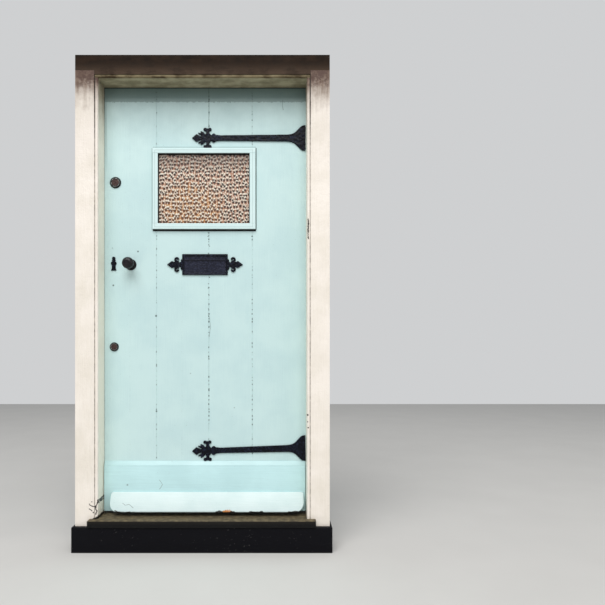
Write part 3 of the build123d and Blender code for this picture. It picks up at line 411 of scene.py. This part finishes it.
def planted_paint(name, paint, faded, marks, lines, chips, bare, shaded_above):
    """The paint of a piece planted on the boards; its brush marks run along X."""
    graph, place, shader = finish(name, coat=0.1, coat_roughness=0.3, specular=0.35)
    turned = graph.node("Mapping", {"Vector": place, "Rotation": (0, math.radians(90), 0)}).outputs[0]
    dirt = graph.times(graph.most(spots(graph, place, marks), cracks(graph, place, lines, 0.0014)), 0.55)
    film = graph.place("paint film", Vector=turned, Paint=paint, Faded=faded, Stain=joint_dirt_and_shade,
                       Dirt=dirt)
    # Painted shade: the piece is a little darker above that level.
    above = graph.times(graph.rise(graph.axes(place)[2], shaded_above - 0.001, shaded_above + 0.001), 0.16)
    color = graph.mix(above, film["Color"], srgb(120, 138, 136))
    color = graph.mix(cracks(graph, place, bare, 0.0062), color, srgb(190, 124, 66))
    color = graph.mix(cracks(graph, place, chips, 0.0036), color, srgb(38, 32, 27))
    wear(graph, shader, color, film["Roughness"], film["Height"], 0.0007)


def frame_film(graph, place):
    """The cream film of the frame, browned towards the top partly by dirt and partly as painted shadow, and a
    ragged level to work from.
    """
    z = graph.axes(place)[2]
    cloud = graph.noise(place, 22.0, 5, 0.65)
    drips = graph.noise(graph.stretch(place, 90, 90, 7), 1.0, 3, 0.6)
    level = graph.add(z, graph.times(graph.less(graph.add(cloud, drips), 1.0), 0.12))
    # Browning towards the top: part dirt, part painted shadow under the head.
    grime_and_shade = graph.add(graph.times(graph.rise(level, 1.72, 1.89), 0.808),
                      graph.times(graph.rise(level, 1.40, 1.74), 0.114))
    cream = graph.place("paint film", Vector=place, Paint=srgb(248, 240, 231),
                        Faded=srgb(231, 223, 210), Stain=srgb(106, 80, 60), Dirt=grime_and_shade)
    return cream, level


def jamb_stains_and_shade(graph, place, x, y, z, color):
    """Brown blots on the outer face under the head, partly staining and partly painted shadow, and dirt and
    painted shade in the quirk beside the opening.
    """
    blots = graph.rise(graph.noise(place, 42.0, 4, 0.65), 0.36, 0.58)
    # Under the head the brown is partly painted shadow.
    cap = graph.rise(graph.add(z, graph.times(blots, 0.035)), 1.845, 1.905)
    cap = graph.times(graph.times(cap, graph.rise(y, 0.010, 0.004)), graph.add(graph.times(blots, 0.35), 0.5))
    cap = graph.times(cap, graph.rise(graph.size(x), 0.509, 0.492))
    color = graph.mix(cap, color, srgb(70, 44, 36))
    # The quirk is darkened with dirt and painted shade, more towards the top.
    quirk = graph.near(graph.size(x), opening_side + quirk_offset, 0.0019, 0.0013)
    quirk = graph.times(quirk, graph.rise(y, 0.012, 0.008))
    quirk_shade_and_dirt = graph.add(graph.times(graph.rise(z, 1.55, 1.84), 0.75), graph.noise(place, 60.0, 3, 0.6))
    quirk_shade_and_dirt = graph.most(graph.less(quirk_shade_and_dirt, 0.22), 0.0)
    return graph.mix(graph.times(quirk, quirk_shade_and_dirt), color, srgb(52, 38, 28))


def jamb_damage(graph, place, x, y, z):
    """1 where the jambs are split, holed, or flaked bare below a slanting edge at the left foot."""
    ragged = graph.times(graph.less(graph.noise(place, 90.0, 3, 0.6), 0.5), 0.022)
    edge = graph.less(z, graph.times(graph.add(x, 0.456), 0.53))
    left_side = graph.rise(x, 0.0, -0.1)
    bare = graph.times(graph.rise(graph.add(edge, ragged), 0.120, 0.116), graph.rise(x, -0.459, -0.455))
    bare = graph.times(bare, left_side)
    holes = graph.most(spots(graph, place, jamb_holes), cracks(graph, place, foot_cracks, 0.0028))
    holes = graph.most(holes, cracks(graph, place, jamb_split, 0.0032))
    holes = graph.times(holes, graph.most(graph.rise(y, 0.014, 0.010), left_side))
    return graph.times(graph.most(bare, holes), graph.rise(y, board_face - 0.002, board_face - 0.006))


def frame_paint():
    graph, place, shader = finish("frame_paint", coat=0.08, coat_roughness=0.35, specular=0.35)
    x, y, z = graph.axes(place)
    film, level = frame_film(graph, place)
    # The reveals have a lighter copy of the cream that darkens towards the top: painted light and painted
    # shade.
    reveal = graph.times(graph.rise(graph.size(x), opening_side + 0.0005, opening_side + 0.0002),
                         graph.rise(y, 0.006, 0.010))
    greyed = graph.mix(graph.rise(level, 1.60, 1.90), srgb(253, 246, 229), srgb(140, 130, 106))
    color = graph.mix(reveal, film["Color"], greyed)
    color = jamb_stains_and_shade(graph, place, x, y, z, color)
    color = graph.mix(jamb_damage(graph, place, x, y, z), color, srgb(30, 26, 22))
    lumps = graph.add(graph.noise(place, 38.0, 3, 0.6), graph.times(graph.noise(place, 140.0, 3, 0.6), 0.4))
    wear(graph, shader, color, film["Roughness"], graph.add(film["Height"], lumps), 0.0014)


def head_paint():
    """Dark timber on the front, darkest at the top, partly staining and partly painted shadow, over a khaki
    soffit that is partly painted shade, with a browner lip; the back is painted as the jambs are.
    """
    graph, place, shader = finish("head_paint", specular=0.1)
    _, y, z = graph.axes(place)
    film, _ = frame_film(graph, place)
    streaks = graph.noise(graph.stretch(place, 9, 30, 45), 1.0, 5, 0.7)
    mottle = graph.rise(graph.add(graph.times(streaks, 0.6), graph.times(graph.noise(place, 26.0, 4), 0.4)),
                        0.38, 0.62)
    # The front darkens towards the top: stained timber and painted shadow.
    drop = graph.rise(graph.add(z, graph.times(mottle, 0.02)), 1.950, 1.890)
    shaded = graph.mix(mottle, srgb(24, 15, 8), srgb(42, 29, 19))
    wood_and_shadow = graph.mix(drop, shaded, graph.mix(mottle, srgb(54, 42, 33), srgb(84, 68, 56)))
    # The soffit's khaki is partly painted shade.
    khaki = graph.mix(mottle, srgb(134, 127, 103), srgb(172, 164, 137))
    lip = graph.mix(mottle, srgb(66, 54, 38), srgb(130, 119, 92))
    front = graph.rise(y, 0.006, 0.004)
    below = graph.rise(z, soffit + 0.0125, soffit + 0.0105)
    color = graph.mix(below, wood_and_shadow, graph.mix(front, khaki, lip))
    # A dark line in the quirk: dirt and painted shade.
    quirk = graph.near(z, soffit + quirk_offset, 0.0008, 0.0010)
    color = graph.mix(graph.times(quirk, front), color, srgb(24, 19, 15))
    color = graph.mix(graph.rise(y, board_face + 0.0005, board_face + 0.0015), color, film["Color"])
    wear(graph, shader, color, film["Roughness"], film["Height"], 0.0012)


def sill_paint():
    graph, place, shader = finish("sill_paint", specular=0.2)
    z = graph.axes(place)[2]
    mottle = graph.noise(place, 55.0, 4, 0.7)
    wash = graph.noise(graph.stretch(place, 12, 60, 60), 1.0, 3, 0.6)
    top = graph.rise(z, sill_level - 0.0055, sill_level - 0.0030)
    worn = graph.mix(graph.rise(mottle, 0.35, 0.68), srgb(76, 68, 53), srgb(116, 104, 80))
    face = graph.mix(graph.times(wash, 0.3), srgb(7, 7, 8), srgb(24, 23, 22))
    upper = graph.times(graph.rise(z, sill_level - 0.020, sill_level - 0.008), 0.3)
    face = graph.mix(upper, face, srgb(44, 39, 32))
    rough = graph.add(graph.times(mottle, 0.3), 0.45)
    wear(graph, shader, graph.mix(top, face, worn), rough, graph.add(mottle, wash), 0.0010)


def plinth_paint():
    graph, place, shader = finish("plinth_paint", specular=0.12)
    x = graph.axes(place)[0]
    cloud = graph.noise(place, 9.0, 4, 0.6)
    slanted = graph.node("Mapping", {"Vector": place, "Rotation": (0, math.radians(35), 0)}).outputs[0]
    grit = graph.noise(graph.stretch(slanted, 90, 300, 330), 1.0, 2, 0.4)
    streaks = graph.noise(graph.stretch(place, 9, 200, 200), 1.0, 3, 0.6)
    scuffed = graph.times(graph.near(x, 0.15, 0.03, 0.08), 0.05)
    specks = graph.rise(graph.add(graph.add(grit, graph.times(cloud, 0.25)), scuffed), 0.86, 0.91)
    color = graph.mix(graph.times(specks, 0.4), srgb(8, 8, 14), srgb(110, 108, 106))
    rough = graph.add(graph.times(cloud, 0.25), 0.42)
    wear(graph, shader, color, rough, graph.add(streaks, graph.times(cloud, 2.0)), 0.0006)


def ironwork():
    """Black paint on beaten iron; the letter plate is rubbed greyer, with the shade of a groove painted
    across its flap.
    """
    graph, place, shader = finish("ironwork", specular=0.15)
    x, _, z = graph.axes(place)
    beaten = graph.place("hammered", Vector=place, Dents=105.0, Black=srgb(7, 9, 17),
                         Worn=srgb(34, 40, 60))
    low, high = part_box("letter_flap")
    middle = (low + high) / 2
    field = graph.times(graph.near(x, middle.x, 0.082, 0.004), graph.near(z, middle.z, 0.033, 0.004))
    scratches = graph.noise(graph.stretch(place, 150, 150, 260), 1.0, 4, 0.7)
    rubbed = graph.times(field, graph.add(graph.times(graph.rise(scratches, 0.42, 0.66), 0.5), 0.22))
    color = graph.mix(rubbed, beaten["Color"], srgb(58, 60, 78))
    # Painted shade: a near black line where a groove across the flap would be shaded.
    groove = graph.near(z, high.z - 0.0055, 0.0012, 0.0014)
    groove = graph.times(groove, graph.near(x, middle.x, 0.081, 0.002))
    color = graph.mix(graph.times(groove, 0.95), color, srgb(2, 2, 4))
    wear(graph, shader, color, graph.add(beaten["Roughness"], 0.12), beaten["Height"], 0.0009)


def dark_bronze():
    """A knob worn dark and smooth; its neck and its rose are dull, and their colour is darkened as painted
    shade.
    """
    graph, place, shader = finish("dark_bronze", specular=0.3)
    cloud = graph.noise(place, 70.0, 4, 0.6)
    # Painted shade darkens the neck and the rose behind the knob.
    back = graph.near(graph.axes(place)[1], 0.062, 0.014, 0.004)
    tint = graph.mix(graph.rise(cloud, 0.4, 0.65), srgb(20, 18, 22), srgb(34, 28, 32))
    rough = graph.most(graph.add(graph.times(cloud, 0.1), 0.28), graph.times(back, 0.75))
    wear(graph, shader, graph.mix(back, tint, srgb(12, 11, 13)), rough, cloud, 0.0001)


def metal(name, color, worn, metallic, low, high):
    """A plain metal with clouded tarnish."""
    graph, place, shader = finish(name, metallic=metallic)
    cloud = graph.noise(place, 70.0, 4, 0.6)
    rough = graph.add(graph.times(cloud, high - low), low)
    tint = graph.mix(graph.rise(cloud, 0.4, 0.65), color, worn)
    wear(graph, shader, tint, rough, graph.noise(place, 900.0, 2, 0.5), 0.0001)


def worn_rings():
    """Dark rings with a rubbed ridge round a reddish brown cylinder; the pale ring on the ridge is partly
    wear and partly a painted highlight.
    """
    graph, place, shader = finish("worn_rings", metallic=0.2, specular=0.3)
    x, _, z = graph.axes(place)
    share = 1.0
    for ring in ("night_latch_ring", "lower_lock_ring"):
        low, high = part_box(ring)
        gap = graph.span(graph.less(x, (low.x + high.x) / 2),
                         graph.less(z, (low.z + high.z) / 2))
        share = graph.math("MINIMUM", share, graph.math("DIVIDE", gap, (high.x - low.x) / 2))
    cloud = graph.noise(place, 160.0, 4, 0.6)
    share = graph.add(share, graph.times(graph.less(cloud, 0.5), 0.05))
    # The pale ring on the ridge: rubbed metal and a painted highlight.
    ridge = graph.times(graph.near(share, 0.72, 0.015, 0.04), graph.rise(cloud, 0.40, 0.60))
    brown = graph.mix(graph.rise(cloud, 0.4, 0.65), srgb(84, 64, 60), srgb(56, 42, 42))
    color = graph.mix(graph.rise(share, 0.62, 0.68), brown, srgb(17, 22, 21))
    color = graph.mix(graph.times(ridge, 0.85), color, srgb(186, 190, 188))
    wear(graph, shader, color, graph.add(graph.times(cloud, 0.3), 0.3), cloud, 0.0002)


def obscured_glass():
    """Pressed glass with its relief painted in as light and shade: dark pits of painted shade in a net of
    painted highlights, warmer in the middle, with painted shade at the top and a painted shadow along the
    trims.
    """
    graph, place, shader = finish("obscured_glass", transmission=0.2)
    x, _, z = graph.axes(place)
    flat = graph.node("CombineXYZ", {0: graph.times(x, 1.12), 1: graph.times(z, 0.88)}).outputs[0]
    raised = graph.node("Mapping", {"Vector": flat, "Location": (0, -0.0062, 0)}).outputs[0]
    density, jitter = 71.0, 0.72
    pit = graph.cells(flat, density, jitter, "F1", "2D")
    # A painted highlight on the crest above each pit.
    crest = graph.rise(graph.cells(raised, density, jitter, "F1", "2D"), 0.34, 0.20)
    ridge = graph.cells(flat, density, jitter, "DISTANCE_TO_EDGE", "2D")
    patches = graph.noise(flat, 150.0, 2, 0.6)
    centre = graph.span(graph.less(x, -0.06), graph.less(z, 1.37))
    warmth = graph.add(graph.noise(place, 7.0, 2, 0.5), graph.rise(centre, 0.20, 0.02))
    warmth = graph.rise(warmth, 0.55, 1.35)
    body = graph.mix(warmth, srgb(188, 136, 108), srgb(204, 142, 76))
    # Painted shade round each pit.
    shade = graph.mix(graph.rise(pit, 0.28, 0.62), srgb(98, 56, 34), body)
    deep = graph.mix(warmth, srgb(14, 8, 7), srgb(104, 60, 30))
    # Painted highlights along the cell edges and on the crests.
    light = graph.times(graph.rise(ridge, 0.14, 0.05), graph.rise(patches, 0.42, 0.54))
    light = graph.most(light, graph.times(crest, graph.rise(patches, 0.34, 0.50)))
    color = graph.mix(light, shade, srgb(255, 247, 230))
    # The pits are painted dark as shade.
    color = graph.mix(graph.rise(pit, 0.33, 0.12), color, deep)
    # Painted shade: darker towards the top, under the trim.
    top = graph.rise(z, sight_high.z - 0.085, sight_high.z - 0.020)
    color = graph.mix(graph.times(top, 0.45), color, srgb(70, 48, 40))
    # Painted shadow: near black along the trims and along the top of the glass.
    edge = graph.most(graph.rise(beyond_sight(graph, x, z), -0.0034, -0.0026),
                      graph.rise(z, sight_high.z - 0.0018, sight_high.z - 0.0010))
    wear(graph, shader, graph.mix(edge, color, srgb(8, 6, 5)), 0.35, pit, 0.0015)


def pale_ground():
    graph, place, shader = finish("pale_ground")
    cloud = graph.noise(place, 3.0, 3, 0.5)
    wear(graph, shader, graph.mix(cloud, srgb(206, 205, 202), srgb(214, 213, 210)), 0.8, cloud, 0.0005)


door_paint()
trim_paint()
planted_paint("kick_rail_paint", srgb(200, 235, 238), srgb(188, 223, 226), kick_rail_marks,
              kick_rail_cracks, (), (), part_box("kick_rail")[1].z - 0.020)
planted_paint("weatherboard_paint", srgb(209, 226, 226), srgb(195, 216, 216), (), weatherboard_cracks,
              weatherboard_chips, bare_edge, 1.0)
frame_paint()
head_paint()
sill_paint()
plinth_paint()
ironwork()
worn_rings()
obscured_glass()
pale_ground()
metal("steel", srgb(150, 148, 144), srgb(120, 112, 104), 1.0, 0.3, 0.55)
metal("lock_enamel", srgb(40, 38, 37), srgb(54, 50, 48), 0.0, 0.25, 0.5)
dark_bronze()
metal("tarnished_brass", srgb(112, 84, 66), srgb(74, 54, 44), 0.8, 0.3, 0.6)

own_finish = {"head": "head_paint", "window_trim_rails": "window_trim_paint",
              "window_trim_sides": "window_trim_paint", "night_latch_ring": "worn_rings",
              "night_latch_cylinder": "worn_rings", "night_latch_plug": "worn_rings",
              "lower_lock_ring": "worn_rings", "lower_lock_cylinder": "worn_rings",
              "lower_lock_plug": "worn_rings"}
for node_name, cad_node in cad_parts.items():
    for material_slot in cad_node.material_slots:
        plain = material_slot.material.name.split(".")[0]
        material_slot.material = finishes[own_finish.get(node_name, plain)]

# Pieces that replace plain solids

def merged(node):
    """A bmesh of a CAD node with its doubles merged."""
    shape = bmesh.new()
    shape.from_mesh(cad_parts[node].data)
    bmesh.ops.remove_doubles(shape, verts=shape.verts, dist=1e-5)
    return shape


def piece(name, shape, material, body, node, smooth=True):
    """A finished piece from a bmesh, riding on its body in the place of its node."""
    bmesh.ops.recalc_face_normals(shape, faces=shape.faces)
    for face in shape.faces:
        face.smooth = smooth
    mesh = bpy.data.meshes.new(name)
    shape.to_mesh(mesh)
    shape.free()
    made = bpy.data.objects.new(name, mesh)
    bpy.context.scene.collection.objects.link(made)
    mesh.materials.append(finishes[material])
    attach(made, body)
    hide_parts(node)


def eased(name, node, material, body, width):
    """A CAD node with its sharp arrises rounded."""
    shape = merged(node)
    bmesh.ops.dissolve_limit(shape, angle_limit=math.radians(2), verts=shape.verts,
                             edges=shape.edges)
    sharp = [edge for edge in shape.edges
             if len(edge.link_faces) == 2 and edge.calc_face_angle() > 0.5]
    bmesh.ops.bevel(shape, geom=sharp, offset=width, offset_type="OFFSET", affect="EDGES",
                    segments=3, profile=0.5, material=-1, clamp_overlap=True)
    piece(name, shape, material, body, node)


def remeshed(node, voxel):
    """A bmesh of a CAD node, remeshed evenly and smoothed so that its arrises are round."""
    shape = merged(node)
    mesh = bpy.data.meshes.new("blank")
    shape.to_mesh(mesh)
    shape.free()
    blank = bpy.data.objects.new("blank", mesh)
    bpy.context.scene.collection.objects.link(blank)
    remesh = blank.modifiers.new("remesh", "REMESH")
    remesh.mode = "VOXEL"
    remesh.voxel_size = voxel
    smooth = blank.modifiers.new("smooth", "SMOOTH")
    smooth.iterations = 3
    smooth.factor = 0.5
    finished = bpy.data.meshes.new_from_object(
        blank.evaluated_get(bpy.context.evaluated_depsgraph_get()))
    bpy.data.objects.remove(blank)
    shape = bmesh.new()
    shape.from_mesh(finished)
    bpy.data.meshes.remove(finished)
    return shape


def beaten(name, node, body, voxel, depth, paint, droop=0.0):
    """Ironwork with rounded arrises, a hand-beaten face and paint of that thickness; a strap may
    droop from its broad end towards its tip."""
    shape = remeshed(node, voxel)
    broad_end = 0.42
    shape.normal_update()
    for vert in shape.verts:
        front = max(0.0, -vert.normal.y)
        dent = noise.noise(vert.co * 95) + 0.5 * noise.noise(vert.co * 210)
        vert.co += vert.normal * paint
        vert.co.y += depth * front * dent
        vert.co.z -= droop * (broad_end - vert.co.x)
    piece(name, shape, "ironwork", body, node)


beaten("beaten_upper_hinge_front", "upper_hinge_front", "leaf", 0.0012, 0.0008, 0.0)
beaten("beaten_lower_hinge_front", "lower_hinge_front", "leaf", 0.0012, 0.0008, 0.0, 0.011)
beaten("beaten_letter_plate", "letter_plate", "leaf", 0.0012, 0.0006, 0.0003)
beaten("beaten_letter_flap", "letter_flap", "letter_flap", 0.0008, 0.0003, 0.0004)
beaten("beaten_escutcheon", "escutcheon", "leaf", 0.0006, 0.0003, 0.0)
beaten("beaten_keyhole_cover", "keyhole_cover", "keyhole_cover", 0.0005, 0.0003, 0.0)
eased("eased_sill", "sill", "sill_paint", "frame", 0.0015)
eased("eased_base_beam", "base_beam", "plinth_paint", "frame", 0.002)
eased("eased_kick_rail", "kick_rail", "kick_rail_paint", "leaf", 0.0012)
eased("eased_weatherboard", "weatherboard", "weatherboard_paint", "leaf", 0.0015)


def filled(node):
    """A board whose vee joints thick paint has nearly closed."""
    vee_half, vee_depth = 0.0038, 0.0030
    filled_half, filled_depth = 0.0006, 0.0006
    gap_half = 0.00005
    shape = merged(node)
    for vert in shape.verts:
        for joint in (left_joint, middle_joint, right_joint):
            off = vert.co.x - joint
            if abs(off) < vee_half and vert.co.y < board_face + 0.0001:
                vert.co.x = joint + math.copysign(filled_half, off)
            elif abs(off) < vee_half and vert.co.y < board_face + vee_depth:
                vert.co.y = board_face + filled_depth
                vert.co.x = joint + math.copysign(gap_half, off)
    piece("painted_" + node, shape, "door_paint", "leaf", node, smooth=False)


def lifted(node):
    """Window trims whose inner edges stand a little higher and further left."""
    shape = merged(node)
    inner_side = sight_low.x + trim_width
    for vert in shape.verts:
        if sight_high.z - 0.001 < vert.co.z < sight_high.z + 0.004 or vert.co.z < sight_low.z + 0.001:
            vert.co.z += trim_lift
        if inner_side - 0.004 < vert.co.x < inner_side + 0.001:
            vert.co.x -= trim_lift
    piece("painted_" + node, shape, "window_trim_paint", "leaf", node, smooth=False)


for board in ("lock_side_board", "upper_middle_board_left", "upper_middle_board_right",
              "lower_middle_board_left", "lower_middle_board_right", "hinge_side_board"):
    filled(board)
for trim in ("window_trim_rails", "window_trim_sides"):
    lifted(trim)

# Floor, light and camera

floor_shape = bmesh.new()
floor_corners = ((-6, -5, 0), (6, -5, 0), (6, 6, 0), (-6, 6, 0))
floor_shape.faces.new([floor_shape.verts.new(corner) for corner in floor_corners])
floor_mesh = bpy.data.meshes.new("floor")
floor_shape.to_mesh(floor_mesh)
floor_shape.free()
floor_mesh.materials.append(finishes["pale_ground"])
floor = bpy.data.objects.new("floor", floor_mesh)
bpy.context.scene.collection.objects.link(floor)


def softbox(name, elevation, left, distance, width, height, power, color):
    """A large soft light aimed at the door, raised and moved to the left by degrees."""
    lamp = bpy.data.lights.new(name, "AREA")
    lamp.shape = "RECTANGLE"
    lamp.size = width
    lamp.size_y = height
    lamp.energy = power
    lamp.color = color
    made = bpy.data.objects.new(name, lamp)
    made.rotation_euler = (math.radians(90 - elevation), 0, -math.radians(left))
    aim = Vector((0, 0, distance))
    aim.rotate(made.rotation_euler)
    made.location = Vector((0, 0, 1)) + aim
    bpy.context.scene.collection.objects.link(made)


softbox("key", 52, 5, 10, 9, 7.2, 1085, (1.0, 0.99, 0.975))
softbox("fill", 20, -60, 10, 5, 5, 110, (1.0, 0.97, 0.94))

world = bpy.data.worlds.new("studio")
world.use_nodes = True
sky = Graph(world.node_tree)
seen = sky.node("LightPath", {}).outputs["Is Camera Ray"]
background = world.node_tree.nodes["Background"]
sky.feed(background.inputs["Color"], sky.mix(seen, (0.93, 0.96, 1.0, 1), (0.74, 0.75, 0.76, 1)))
sky.feed(background.inputs["Strength"], sky.add(sky.times(seen, 0.54), 0.30))
bpy.context.scene.world = world
bpy.context.scene.view_settings.view_transform = "Standard"

# The camera stands to the right of the door and looks straight at its plane, as in the photograph.
lens = bpy.data.cameras.new("camera")
lens.lens = 31.93
lens.sensor_width = 36
lens.shift_x = 0.0455
lens.shift_y = 0.0818
lens.clip_start = 0.05
camera = bpy.data.objects.new("camera", lens)
camera.location = (0.2866, -2.12, 0.788)
camera.rotation_euler = (math.radians(90), 0, 0)
bpy.context.scene.collection.objects.link(camera)
bpy.context.scene.camera = camera
